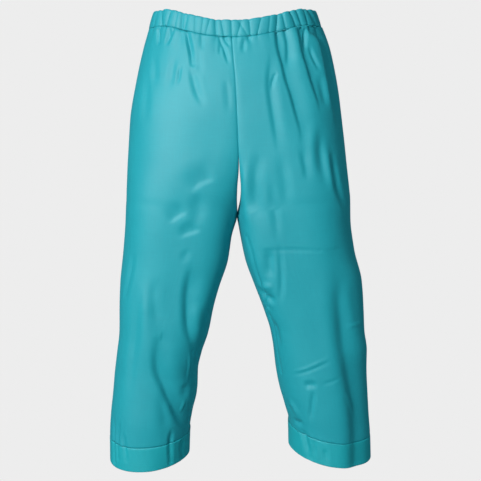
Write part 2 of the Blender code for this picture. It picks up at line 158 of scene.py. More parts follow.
# Creases that the wearer's shape and the sewing leave in the cloth. A positive depth is a trough and a negative
# one a ridge. lean is how much softer the crease is on the right, seen from outside and running down. start and
# end are the shares of the depth that it has at its ends.
Crease = namedtuple("Crease", "side face width depth lean start end points")
CREASES = [
    # below the casing, right
    Crease(RIGHT, FRONT, 9, 3.2, 0.3, 0.6, 0.5, ((-86, -41), (-83, -57), (-78, -80), (-75, -100))),
    Crease(RIGHT, FRONT, 13, 1.8, 0.2, 0.3, 0, ((-78, -103), (-71, -134), (-64, -155), (-52, -174))),
    Crease(RIGHT, FRONT, 6, 1.3, 0, 0, 0, ((-95, -100), (-98, -122), (-102, -138))),
    Crease(RIGHT, FRONT, 7, 1.8, 0, 0.7, 0, ((-136, -39), (-135, -52), (-134, -67))),
    Crease(RIGHT, FRONT, 8, 2.2, 0, 0.8, 0, ((-115, -41), (-117, -55), (-120, -69))),
    Crease(RIGHT, FRONT, 6, 1.2, 0, 0.6, 0, ((-109, -42), (-112, -50), (-114, -60))),
    Crease(RIGHT, FRONT, 7, 1.6, 0, 0.3, 0.3, ((-106, -37), (-91, -39), (-76, -41))),
    Crease(RIGHT, FRONT, 13, 1.2, 0, 0, 0, ((-106, -83), (-109, -107), (-115, -149))),
    Crease(RIGHT, FRONT, 14, 1.0, 0, 0, 0, ((-143, -77), (-140, -107), (-141, -145))),
    Crease(RIGHT, FRONT, 18, 1.0, 0, 0, 0, ((-153, -106), (-155, -160), (-155, -211))),
    Crease(RIGHT, FRONT, 12, 1.1, 0, 0, 0, ((-70, -60), (-65, -91), (-61, -127))),
    Crease(RIGHT, FRONT, 8, 0.9, 0, 0.5, 0, ((-59, -49), (-59, -63), (-58, -81))),
    Crease(RIGHT, FRONT, 7, 1.8, 0.3, 0.7, 0, ((-30, -51), (-23, -71), (-12, -104))),
    Crease(RIGHT, FRONT, 6, 1.2, 0, 0.6, 0, ((-31, -54), (-28, -68), (-28, -88))),
    Crease(RIGHT, FRONT, 8, 2.2, 0.2, 0.8, 0, ((-23, -48), (-18, -61), (-8, -74))),
    Crease(RIGHT, FRONT, 12, 0.8, 0, 0, 0, ((-19, -121), (-15, -152), (-11, -188))),
    # below the casing, left
    Crease(
        LEFT, FRONT, 22, 3.4, 0.8, 0.9, 0,
        ((71, -41), (73, -70), (80, -97), (86, -123), (95, -151), (103, -181), (111, -212), (114, -245)),
    ),
    Crease(LEFT, FRONT, 14, 1.4, 0.3, 0, 0, ((108, -239), (115, -265), (121, -302))),
    Crease(LEFT, FRONT, 14, 2.2, 0.5, 0.8, 0, ((84, -42), (88, -63), (89, -86), (87, -109))),
    Crease(
        LEFT, FRONT, 22, 3.4, 0.8, 0.9, 0,
        ((110, -41), (115, -75), (123, -102), (131, -131), (140, -158), (145, -187)),
    ),
    Crease(LEFT, FRONT, 7, 2.2, 0, 0.8, 0, ((120, -37), (118, -56), (117, -77))),
    Crease(
        LEFT, FRONT, 26, 5.0, 0.5, 0.8, 0,
        ((131, -37), (145, -52), (153, -76), (158, -106), (165, -144), (172, -181), (176, -217)),
    ),
    Crease(LEFT, FRONT, 7, 1.6, 0, 0, 0, ((125, -64), (131, -84), (143, -112))),
    Crease(LEFT, FRONT, 14, 1.6, 0, 0, 0, ((141, -112), (148, -142), (153, -176))),
    Crease(LEFT, FRONT, 8, 1.3, 0, 0.5, 0, ((15, -52), (12, -66), (10, -85))),
    Crease(LEFT, FRONT, 7, 1.6, 0, 0.7, 0, ((19, -40), (20, -51), (21, -67))),
    Crease(LEFT, FRONT, 15, 1.8, 0.4, 0, 0, ((61, -70), (56, -121), (57, -153), (66, -211), (75, -262))),
    Crease(LEFT, FRONT, 18, 1.2, 0, 0, 0, ((71, -246), (80, -289), (88, -353))),
    Crease(LEFT, FRONT, 6, 1.2, 0, 0, 0, ((68, -111), (61, -130), (58, -147))),
    # thighs
    Crease(RIGHT, FRONT, 24, 1.8, -0.8, 0, 0, ((-34, -289), (-54, -294), (-69, -302), (-84, -318))),
    Crease(RIGHT, FRONT, 22, 1.6, 0, 0, 0, ((-51, -319), (-65, -336), (-65, -374))),
    Crease(RIGHT, FRONT, 18, 1.4, -0.7, 0, 0, ((-84, -345), (-102, -355), (-121, -369))),
    Crease(RIGHT, FRONT, 16, -0.6, 0, 0, 0, ((-74, -358), (-92, -369), (-108, -382))),
    Crease(RIGHT, FRONT, 18, 1.6, -0.7, 0, 0, ((-59, -377), (-80, -383), (-103, -390))),
    Crease(LEFT, FRONT, 24, -3.0, 0, 0, 0, ((13, -259), (16, -304), (18, -338), (26, -392))),
    Crease(LEFT, FRONT, 20, 1.8, 0, 0, 0, ((46, -241), (35, -265), (30, -304), (35, -375))),
    Crease(LEFT, FRONT, 13, 1.3, 0, 0, 0, ((57, -295), (65, -353), (73, -408))),
    Crease(LEFT, FRONT, 10, 1.6, 0, 0, 0, ((72, -397), (75, -436), (77, -477), (74, -521))),
    Crease(LEFT, FRONT, 18, -1.4, 0, 0, 0, ((131, -190), (127, -238), (130, -289))),
    Crease(LEFT, FRONT, 16, 1.1, 0, 0, 0, ((140, -210), (144, -262), (150, -306))),
    Crease(LEFT, FRONT, 16, -1.8, 0, 0, 0, ((147, -228), (155, -268), (165, -323))),
    Crease(LEFT, FRONT, 14, 2.4, 0, 0, 0, ((160, -245), (167, -289), (176, -319), (192, -356))),
    Crease(LEFT, FRONT, 7, 0.5, 0, 0, 0, ((23, -416), (109, -415), (203, -417))),
    Crease(RIGHT, FRONT, 12, 1.6, 0, 0, 0, ((-177, -414), (-183, -446), (-191, -483), (-200, -520))),
    # right knee and shin
    Crease(RIGHT, FRONT, 12, 0.7, 0, 0, 0, ((-81, -412), (-88, -425), (-93, -440))),
    Crease(
        RIGHT, FRONT, 26, 4.4, 0.5, 0, 0.3,
        ((-66, -435), (-76, -452), (-83, -483), (-85, -515), (-83, -552), (-75, -595)),
    ),
    Crease(RIGHT, FRONT, 22, -2.6, 0, 0, 0, ((-68, -504), (-70, -538), (-69, -565), (-67, -588))),
    Crease(RIGHT, FRONT, 18, 1.3, 0, 0, 0, ((-138, -461), (-144, -500), (-138, -556))),
    Crease(RIGHT, FRONT, 30, -2.2, 0, 0, 0, ((-153, -461), (-157, -521), (-157, -584), (-155, -643))),
    Crease(RIGHT, FRONT, 18, 1.4, 0, 0, 0, ((-168, -479), (-173, -537), (-183, -613), (-193, -704))),
    Crease(
        RIGHT, FRONT, 26, 5.5, 0.5, 0.2, 0,
        ((-134, -579), (-139, -602), (-138, -629), (-128, -657), (-115, -689), (-102, -722), (-89, -748)),
    ),
    Crease(RIGHT, FRONT, 18, 1.6, 0, 0, 0, ((-138, -664), (-130, -702), (-126, -751))),
    Crease(RIGHT, FRONT, 6, -0.9, 0, 0, 0, ((-84, -595), (-85, -627), (-89, -659))),
    Crease(RIGHT, FRONT, 6, -0.9, 0, 0, 0, ((-93, -687), (-95, -701), (-99, -715))),
    Crease(RIGHT, FRONT, 16, 1.4, 0, 0, 0, ((-93, -655), (-93, -674), (-97, -687))),
    Crease(RIGHT, FRONT, 9, 1.8, 0, 0, 1, ((-220, -715), (-222, -759), (-221, -807))),
    Crease(RIGHT, FRONT, 8, 1.6, 0, 0, 0.6, ((-208, -725), (-214, -760), (-214, -797))),
    Crease(RIGHT, FRONT, 8, 1.4, 0, 0, 0.4, ((-203, -743), (-201, -768), (-198, -797))),
    Crease(RIGHT, FRONT, 9, 2.0, 0, 0, 0.6, ((-116, -738), (-120, -769), (-120, -803))),
    Crease(RIGHT, FRONT, 10, 1.6, 0, 0, 0.6, ((-98, -760), (-101, -778), (-100, -798))),
    # left knee and shin
    Crease(LEFT, FRONT, 18, 2.6, 0, 0, 0, ((53, -409), (56, -437), (56, -472))),
    Crease(LEFT, FRONT, 12, -1.6, 0, 0, 0, ((43, -480), (55, -481), (66, -482))),
    Crease(LEFT, FRONT, 14, 3.0, 0, 0.6, 0, ((42, -491), (55, -501), (71, -505))),
    Crease(LEFT, FRONT, 10, -2.0, 0, 0, 0, ((48, -511), (53, -519), (60, -531))),
    Crease(LEFT, FRONT, 14, 2.6, 0, 0.3, 0, ((59, -539), (69, -558), (75, -596))),
    Crease(
        LEFT, FRONT, 8, 1.8, 0, 0.5, 0.5,
        ((18, -394), (26, -422), (35, -459), (46, -493), (53, -522), (62, -550), (71, -594), (79, -640)),
    ),
    Crease(
        LEFT, FRONT, 42, 6.5, 0.3, 0.1, 0.8,
        (
            (173, -428), (180, -473), (182, -512), (187, -550), (192, -591),
            (201, -635), (209, -680), (215, -733), (217, -802),
        ),
    ),
    Crease(LEFT, FRONT, 22, -1.4, 0, 0, 0, ((191, -463), (194, -505), (202, -543), (214, -588))),
    Crease(LEFT, FRONT, 10, -1.0, 0, 0, 0, ((193, -670), (203, -693), (216, -726))),
    Crease(LEFT, FRONT, 6, 0.7, 0, 0, 0, ((94, -642), (117, -634), (145, -622), (170, -609))),
    Crease(LEFT, FRONT, 6, -0.6, 0, 0, 0, ((94, -636), (119, -628), (145, -615), (169, -604))),
    Crease(LEFT, FRONT, 6, 0.7, 0, 0, 0, ((148, -655), (166, -650), (185, -642))),
    Crease(LEFT, FRONT, 6, -0.7, 0, 0, 0, ((194, -556), (206, -552), (221, -549))),
    Crease(LEFT, FRONT, 12, 1.8, 0, 0, 0, ((117, -661), (129, -656), (142, -661))),
    Crease(LEFT, FRONT, 9, 1.6, 0, 0, 0, ((135, -662), (133, -691), (130, -729))),
    Crease(LEFT, FRONT, 12, -1.6, 0, 0, 0, ((91, -687), (103, -706), (112, -726))),
    Crease(LEFT, FRONT, 10, 2.2, 0, 0, 0, ((102, -730), (110, -732), (120, -729))),
    Crease(LEFT, FRONT, 12, 2.4, 0, 0, 0.4, ((116, -741), (124, -763), (130, -791))),
    Crease(LEFT, FRONT, 9, 1.2, 0, 0, 0.3, ((135, -753), (138, -771), (136, -794))),
    Crease(LEFT, FRONT, 9, 1.0, 0, 0, 0.4, ((156, -773), (158, -786), (160, -799))),
    # back, below the casing
    Crease(RIGHT, BACK, 24, 3.2, 0.0, 0.5, 0, ((-112, -38), (-122, -84), (-127, -150))),
    Crease(RIGHT, BACK, 20, 2.4, 0.0, 0.5, 0, ((-76, -38), (-82, -76), (-92, -118))),
    Crease(RIGHT, BACK, 22, 2.8, 0.0, 0.5, 0, ((-42, -38), (-50, -86), (-60, -146))),
    Crease(LEFT, BACK, 22, 3.2, 0.0, 0.5, 0, ((34, -38), (44, -92), (60, -164))),
    Crease(LEFT, BACK, 18, 2.2, 0.0, 0.5, 0, ((70, -38), (78, -66), (80, -104))),
    Crease(LEFT, BACK, 24, 3.4, 0.0, 0.5, 0, ((102, -38), (116, -94), (128, -160))),
    # back, under the seat and down the legs
    Crease(RIGHT, BACK, 40, 4.5, 0.0, 0.3, 0, ((-30, -350), (-84, -326), (-150, -322))),
    Crease(RIGHT, BACK, 30, 2.6, 0.0, 0.3, 0, ((-28, -392), (-74, -376), (-118, -380))),
    Crease(LEFT, BACK, 40, 4.2, 0.0, 0.3, 0, ((30, -348), (92, -320), (152, -330))),
    Crease(LEFT, BACK, 28, 2.4, 0.0, 0.3, 0, ((32, -396), (82, -384), (130, -396))),
    Crease(RIGHT, BACK, 36, 4.2, 0.0, 0.0, 0, ((-190, -512), (-142, -548), (-84, -566))),
    Crease(RIGHT, BACK, 26, 2.6, 0.0, 0.0, 0, ((-178, -560), (-142, -588), (-104, -596))),
    Crease(RIGHT, BACK, 34, 3.6, 0.0, 0.0, 0, ((-180, -610), (-164, -676), (-158, -750))),
    Crease(LEFT, BACK, 36, 4.2, 0.0, 0.0, 0, ((96, -570), (150, -540), (208, -516))),
    Crease(LEFT, BACK, 26, 2.8, 0.0, 0.0, 0, ((112, -606), (152, -592), (192, -574))),
    Crease(LEFT, BACK, 34, 3.4, 0.0, 0.0, 0, ((182, -604), (170, -668), (172, -744))),
]

# Tucks that the elastic gathers the casing into: x at the casing's top and bottom edges, depth, and how far the
# gather runs down into the panel.
Tuck = namedtuple("Tuck", "face top bottom depth tail")
TUCKS = [
    Tuck(FRONT, -139, -146, 2.0, 24),
    Tuck(FRONT, -131, -131, 3.0, 30),
    Tuck(FRONT, -113, -122, 2.0, 22),
    Tuck(FRONT, -101, -107, 1.4, 18),
    Tuck(FRONT, -92, -95, 2.8, 26),
    Tuck(FRONT, -84, -90, 1.8, 20),
    Tuck(FRONT, -70, -70, 1.2, 16),
    Tuck(FRONT, -56, -60, 1.2, 22),
    Tuck(FRONT, -45, -52, 1.4, 20),
    Tuck(FRONT, -36, -35, 2.8, 22),
    Tuck(FRONT, -26, -21, 2.0, 18),
    Tuck(FRONT, -9, -8, 1.8, 14),
    Tuck(FRONT, 9, 1, 1.4, 14),
    Tuck(FRONT, 2, 19, 1.2, 12),
    Tuck(FRONT, 21, 24, 2.0, 18),
    Tuck(FRONT, 42, 35, 1.4, 16),
    Tuck(FRONT, 57, 54, 1.2, 14),
    Tuck(FRONT, 70, 68, 3.0, 24),
    Tuck(FRONT, 78, 84, 2.2, 22),
    Tuck(FRONT, 92, 103, 3.0, 22),
    Tuck(FRONT, 103, 113, 2.8, 22),
    Tuck(FRONT, 116, 124, 2.2, 20),
    Tuck(FRONT, 124, 139, 3.0, 28),
    Tuck(FRONT, 134, 147, 1.8, 20),
    Tuck(BACK, 136, 144, 2.6, 26),
    Tuck(BACK, 121, 126, 1.6, 18),
    Tuck(BACK, 107, 108, 2.8, 26),
    Tuck(BACK, 93, 99, 1.8, 18),
    Tuck(BACK, 77, 76, 2.4, 22),
    Tuck(BACK, 66, 62, 1.4, 16),
    Tuck(BACK, 49, 52, 2.0, 20),
    Tuck(BACK, 33, 35, 2.8, 26),
    Tuck(BACK, 19, 15, 1.4, 16),
    Tuck(BACK, 3, 4, 2.2, 18),
    Tuck(BACK, -15, -12, 1.4, 16),
    Tuck(BACK, -29, -31, 2.4, 20),
    Tuck(BACK, -41, -43, 1.6, 26),
    Tuck(BACK, -58, -55, 2.0, 18),
    Tuck(BACK, -75, -77, 2.8, 24),
    Tuck(BACK, -88, -93, 1.4, 16),
    Tuck(BACK, -103, -104, 2.0, 20),
    Tuck(BACK, -112, -116, 2.6, 28),
    Tuck(BACK, -129, -131, 1.6, 18),
]

# The mock fly's line of stitches on the left front
FLY_STITCHES = ((19, -66), (19, -105), (19, -150), (19, -202), (17, -222), (12, -233), (5, -240))


def linear_colour(hex_colour):
    """An sRGB hex colour as a linear RGBA value."""
    channels = [int(hex_colour[i : i + 2], 16) / 255 for i in (0, 2, 4)]
    linear = [c / 12.92 if c <= 0.04045 else ((c + 0.055) / 1.055) ** 2.4 for c in channels]
    return (*linear, 1.0)


def smooth_step(share):
    share = np.clip(share, 0, 1)
    return share * share * (3 - 2 * share)


# Form


def level_value(places, name):
    """The column's values at places between levels, 2.5 being halfway from level 2 to 3, with no overshoot."""
    values = np.array([getattr(level, name) for level in LEVELS])
    if name not in PLAIN_NUMBERS:
        values = values * MM
    steps = np.diff(values)
    slopes = np.zeros(len(values))
    slopes[0], slopes[-1] = steps[0], steps[-1]
    for i in range(1, len(steps)):
        if steps[i - 1] * steps[i] > 0:
            slopes[i] = 2 * steps[i - 1] * steps[i] / (steps[i - 1] + steps[i])
    i = np.clip(np.floor(places).astype(int), 0, len(steps) - 1)
    t = places - i
    start = (2 * t**3 - 3 * t**2 + 1) * values[i] + (t**3 - 2 * t**2 + t) * slopes[i]
    end = (3 * t**2 - 2 * t**3) * values[i + 1] + (t**3 - t**2) * slopes[i + 1]
    return start + end


def places_down(first, last, rows):
    """Places from one to another, evenly spaced in height."""
    fine = np.linspace(first, last, 20 * rows)
    heights = level_value(fine, "z")
    return np.interp(-np.linspace(heights[0], heights[-1], rows), -heights, fine)


def half_rounds(side, face, places):
    """The front or back of one side at each place, as rows of points outwards from the centre or inner seam."""
    value = {name: level_value(places, name)[:, None] for name in Level._fields}
    outer = side * value["right_out" if side == RIGHT else "left_out"]
    inner = side * value["right_in" if side == RIGHT else "left_in"] + SEAM_GAP / 2
    middle_y = (value["front"] + value["back"]) / 2
    half_depth = (value["back"] - value["front"]) / 2
    # Where the centre seam still lies on the front, the curve starts there and not at the inner leg.
    reach = np.clip(value["reach"], 0, 1)
    start_cos = np.sqrt(1 - reach ** value["inner_bend"])
    centre = (inner + start_cos * outer) / (1 + start_cos)
    round_share = np.linspace(0, 1, CURVE_POINTS)[None, :]
    angle = np.arccos(start_cos) + (math.pi - np.arccos(start_cos)) * round_share
    cosine = np.cos(angle)
    inside = cosine > 0
    bend = 2 / np.where(inside, value["inner_bend"], value["outer_bend"])
    share = np.abs(cosine) / np.where(inside, np.maximum(start_cos, 1e-6), 1.0)
    x = centre + np.where(inside, inner - centre, outer - centre) * share**bend
    y = face * half_depth * np.abs(np.sin(angle)) ** bend
    drop = value["front_drop" if face == FRONT else "back_drop"]
    # The waist dips in a soft hollow, and the crotch in a point.
    hollow = np.cos(np.pi / 2 * np.minimum(1, round_share / HOLLOW_REACH)) ** 2
    point = (1 - round_share) ** 2
    softness = smooth_step((value["z"] - HOLLOW_END) / HOLLOW_FADE)
    z = value["z"] + drop * (point + softness * (hollow - point)) + value["tilt_back"] * y / half_depth
    tilt_in = value["tilt_in" if side == RIGHT else "left_tilt_in"]
    z -= tilt_in * (2 * x - inner - outer) / (outer - inner)
    if side == LEFT:
        # At the centre seam both sides are at one height.
        z += value["left_rise"] * (1 - reach * (1 - round_share))
    return np.stack([side * x, middle_y + y, z], axis=2)


def arc_lengths(curve):
    return np.concatenate([[0], np.cumsum(np.linalg.norm(np.diff(curve, axis=0), axis=1))])


def spread(curves, distances_for):
    """Each curve's points at the distances that distances_for gives for the curve's length."""
    rows = []
    for curve in curves:
        reach = arc_lengths(curve)
        distances = distances_for(reach[-1])
        rows.append(np.stack([np.interp(distances, reach, curve[:, i]) for i in range(3)], axis=1))
    return np.array(rows)


def outward(points, turn):
    """Unit vectors square to a grid of points, turn being 1 or -1 by the way its columns run."""
    normals = np.cross(np.gradient(points, axis=1), np.gradient(points, axis=0)) * turn
    return normals / np.linalg.norm(normals, axis=2, keepdims=True)


def lift(side, grid, x, z):
    """What a grid holds at (x, z), its first three values being x, y and z and its rows running down."""
    on_rows = np.array([
        [np.interp(side * x, side * row[:, 0], row[:, i]) for i in range(row.shape[1])] for row in grid
    ])
    return np.array([np.interp(-z, -on_rows[:, 2], on_rows[:, i]) for i in range(on_rows.shape[1])])


# Creases and gathers


@lru_cache(maxsize=None)
def bare_form(side, face):
    """The form without creases, for finding where a crease lies on it."""
    places = places_down(CASING_END - 0.5, HEM_END, 160)
    return half_rounds(side, face, places)


def smooth_path(points, steps=6):
    """A curve through the points."""
    ends = np.concatenate([[2 * points[0] - points[1]], points, [2 * points[-1] - points[-2]]])
    path = []
    for a, b, c, d in zip(ends, ends[1:], ends[2:], ends[3:]):
        for t in np.linspace(0, 1, steps, endpoint=False):
            square = a - 2.5 * b + 2 * c - d / 2
            cube = 1.5 * (b - c) + (d - a) / 2
            path.append(b + t * (c - a) / 2 + t**2 * square + t**3 * cube)
    path.append(points[-1])
    return np.array(path)


@lru_cache(maxsize=None)
def crease_path(crease):
    form = bare_form(crease.side, crease.face)
    return smooth_path(np.array([lift(crease.side, form, x * MM, z * MM) for x, z in crease.points]))


def crease_depth(crease, points, normals):
    """How far one crease pushes the cloth in at each point."""
    path = crease_path(crease)
    half_width = crease.width * MM / 2
    reach = 4.5 * half_width
    depth = np.zeros(points.shape[:2])
    near = np.all((points > path.min(axis=0) - reach) & (points < path.max(axis=0) + reach), axis=2)
    if not near.any():
        return depth
    spots, up = points[near], normals[near]
    lengths = np.linalg.norm(np.diff(path, axis=0), axis=1)
    starts = np.concatenate([[0], np.cumsum(lengths)])
    nearest = np.full(len(spots), np.inf)
    offset = np.zeros(len(spots))
    along = np.zeros(len(spots))
    for start, end, length, before in zip(path, path[1:], lengths, starts):
        step = (end - start) / length
        run = np.clip((spots - start) @ step, 0, length)
        gap = spots - start - run[:, None] * step
        gap -= up * np.sum(gap * up, axis=1, keepdims=True)
        distance = np.linalg.norm(gap, axis=1)
        closer = distance < nearest
        nearest = np.where(closer, distance, nearest)
        to_right = np.sign(np.sum(np.cross(up, step) * gap, axis=1))
        offset = np.where(closer, to_right * distance, offset)
        along = np.where(closer, (before + run) / starts[-1], along)
    across = offset / half_width
    across = across / (1 + 0.75 * crease.lean * np.tanh(2 * across))
    lip = LIP * (1 + crease.lean * np.tanh(2 * across))
    profile = np.exp(-(across**2)) - lip * np.exp(-((np.abs(across) - 1.8) ** 2) / 0.6)
    strength = crease.start + (1 - crease.start) * smooth_step(along / 0.35)
    strength *= crease.end + (1 - crease.end) * smooth_step((1 - along) / 0.4)
    depth[near] = CREASE_DEPTH * crease.depth * MM * profile * strength
    return depth


def creases_at(side, face, points, normals):
    depth = np.zeros(points.shape[:2])
    for crease in CREASES:
        if (crease.side, crease.face) == (side, face):
            depth += crease_depth(crease, points, normals)
    return depth


def undulation(points):
    """The slight unevenness of cloth that hangs free."""
    x, y, z = (points[..., i] / MM for i in range(3))
    slow = np.sin(x / 31 + z / 83 + 0.7) * np.sin(z / 47 - y / 38 + 1.9)
    quick = np.sin(x / 17 - z / 41 + 2.2) * np.sin(z / 26 + y / 21 + 0.3)
    return (0.7 * slow + 0.22 * quick) * MM


def quarter_place(side, face, share):
    """How far round the waist: 0 and 4 at the right side seam, 1 at the centre front, 3 at the centre back."""
    if face == FRONT:
        return 1 + side * share
    return 3 - side * share


@lru_cache(maxsize=None)
def tuck_lines():
    """For each tuck, its places round the waist at the casing's top and bottom."""
    lines = []
    for tuck in TUCKS:
        ends = []
        for x, place in ((tuck.top, WAIST_TOP), (tuck.bottom, CASING_END)):
            centre = LEVELS[place].right_in
            side = RIGHT if x < centre else LEFT
            row = half_rounds(side, tuck.face, np.array([float(place)]))[0]
            share = np.interp(side * x * MM, side * row[:, 0], arc_lengths(row)) / arc_lengths(row)[-1]
            ends.append(quarter_place(side, tuck.face, share))
        lines.append(ends)
    return lines


def gather_depth(around, down, puff):
    """How far the gathers pull the cloth in. around is the place round the waist, down is in metres from the
    casing's top, and puff scales the depth."""
    depth = np.zeros(np.broadcast(around, down).shape)
    below = np.maximum(down - CASING_HEIGHT, 0)
    height = np.clip(down / CASING_HEIGHT, 0, 1)
    for tuck, (top, bottom) in zip(TUCKS, tuck_lines()):
        line = top + (bottom - top) * height
        offset = ((around - line + 2) % 4 - 2) * QUARTER_WAIST
        width = (1.2 + 0.6 * tuck.depth) * MM + 0.14 * below
        softness = 0.4 * MM + 0.2 * below
        cut = np.exp(-(np.sqrt(offset**2 + softness**2) - softness) / width)
        hollow = np.exp(-((offset / TUCK_HOLLOW) ** 2))
        depth += tuck.depth * MM * (cut + 0.5 * hollow) * np.exp(-below / (tuck.tail * MM))
    return depth * puff


# Meshes


def deselect_all():
    if bpy.context.object and bpy.context.object.mode != "OBJECT":
        bpy.ops.object.mode_set(mode="OBJECT")
    bpy.ops.object.select_all(action="DESELECT")


def lay_cloth(name, rows, thickness, closed=False, flip=False):
    """A sheet of cloth through rows of points, its thickness going in from them, with a UV map in metres."""
    if closed:
        rows = np.concatenate([rows, rows[:, :1]], axis=1)
    down, across = rows.shape[0] - 1, rows.shape[1] - 1
    deselect_all()
    bpy.ops.mesh.primitive_grid_add(x_subdivisions=across, y_subdivisions=down, size=1)
    sheet = bpy.context.object
    sheet.name = sheet.data.name = name
    mesh = sheet.data
    flat = np.empty(len(mesh.vertices) * 3)
    mesh.vertices.foreach_get("co", flat)
    flat = flat.reshape(-1, 3)
    column = np.rint((flat[:, 0] + 0.5) * across).astype(int)
    row = np.rint((0.5 - flat[:, 1]) * down).astype(int)
    mesh.vertices.foreach_set("co", rows[row, column].ravel())
    widths = np.concatenate([[0], np.cumsum(np.linalg.norm(np.diff(rows, axis=1), axis=2).mean(axis=0))])
    lengths = np.concatenate([[0], np.cumsum(np.linalg.norm(np.diff(rows, axis=0), axis=2).mean(axis=1))])
    corners = np.empty(len(mesh.loops), dtype=int)
    mesh.loops.foreach_get("vertex_index", corners)
    mesh.uv_layers.active.name = "cloth"
    places = np.stack([widths[column[corners]], lengths[row[corners]]], axis=1)
    mesh.uv_layers.active.uv.foreach_set("vector", places.ravel())
    bpy.ops.object.mode_set(mode="EDIT")
    bpy.ops.mesh.select_all(action="SELECT")
    if closed:
        bpy.ops.mesh.remove_doubles(threshold=1e-6)
    if flip:
        bpy.ops.mesh.flip_normals()
    bpy.ops.object.mode_set(mode="OBJECT")
    bpy.ops.object.shade_smooth()
    wall = sheet.modifiers.new("thickness", "SOLIDIFY")
    wall.thickness = thickness
    wall.offset = -1
    bpy.ops.object.modifier_apply(modifier=wall.name)
    return sheet


@lru_cache(maxsize=None)
def shaped_panel(side, face):
    """A leg panel's grid of points with all its creases, and the unit vectors square to it."""
    top = CASING_END + PANEL_TOP_GAP / (LEVELS[CASING_END].z - LEVELS[CASING_END + 1].z)
    bottom = HEM_TOP - PANEL_END_GAP / (LEVELS[HEM_TOP - 1].z - LEVELS[HEM_TOP].z)
    places = places_down(top, bottom, PANEL_ROWS)
    curves = half_rounds(side, face, places)
    near_seam = np.array(SEAM_COLUMNS) * MM

    def distances(length):
        middle = np.linspace(near_seam[-1], length - near_seam[-1], PANEL_COLUMNS)
        return np.concatenate([near_seam[:-1], middle, length - near_seam[:-1][::-1]])

    points = spread(curves, distances)
    normals = outward(points, side * face)
    reach = np.array([arc_lengths(row) for row in points])
    from_seam = np.minimum(reach, reach[:, -1:] - reach)
    fade = smooth_step(from_seam / CREASE_FADE)
    share = reach / reach[:, -1:]
    down = np.array([arc_lengths(points[:, i]) for i in range(points.shape[1])]).T
    below_top = down + CASING_HEIGHT
    depth = creases_at(side, face, points, normals) * fade
    depth += undulation(points) * fade
    depth += gather_depth(quarter_place(side, face, share), below_top, PANEL_GATHER)
    depth += SEAM_GROOVE * np.exp(-((from_seam / SEAM_GROOVE_WIDTH) ** 2))
    # The thighs press together below the crotch, and the centre seam sinks in between them.
    towards_crotch = smooth_step((VALLEY_TOP - points[..., 2]) / VALLEY_FADE)
    depth += VALLEY_DEPTH * towards_crotch * np.exp(-reach / VALLEY_WIDTH)
    # The casing and the hem are stitched down over the panel's ends.
    depth += CASING_PRESS * np.exp(-((down / STITCHED_DOWN) ** 2))
    to_hem = down[-1] - down
    depth += HEM_PRESS * np.exp(-((to_hem / STITCHED_DOWN) ** 2))
    depth += hem_puckers(side, face, points) * np.exp(-to_hem / PUCKER_REACH)
    points = points - normals * depth[..., None]
    return points, outward(points, side * face)


def hem_puckers(side, face, points):
    """Small slanting ripples that the hem's stitching draws up."""
    x, y, z = (points[..., i] / MM for i in range(3))
    run = x + y * face * 0.8 + (z + 760) * 0.5
    ripple = np.sin(run / 2.1 + 1.3 * np.sin(run / 13 + side)) * (0.6 + 0.4 * np.sin(run / 19 + 2 * face))
    return PUCKER_DEPTH * ripple


# Materials


WAVE_PERIOD = 0.314  # of the Wave node at a scale of 1


def add_node(tree, kind, inputs=None, **settings):
    """Adds a node with its settings. Its inputs are values, or the sockets to link to them."""
    node = tree.nodes.new(kind)
    for name, value in settings.items():
        setattr(node, name, value)
    for name, value in (inputs or {}).items():
        if isinstance(value, bpy.types.NodeSocket):
            tree.links.new(value, node.inputs[name])
        else:
            node.inputs[name].default_value = value
    return node


def new_material(name):
    """A new material, its node tree and its shader."""
    material = bpy.data.materials.new(name)
    material.use_nodes = True
    tree = material.node_tree
    return material, tree, tree.nodes["Principled BSDF"]


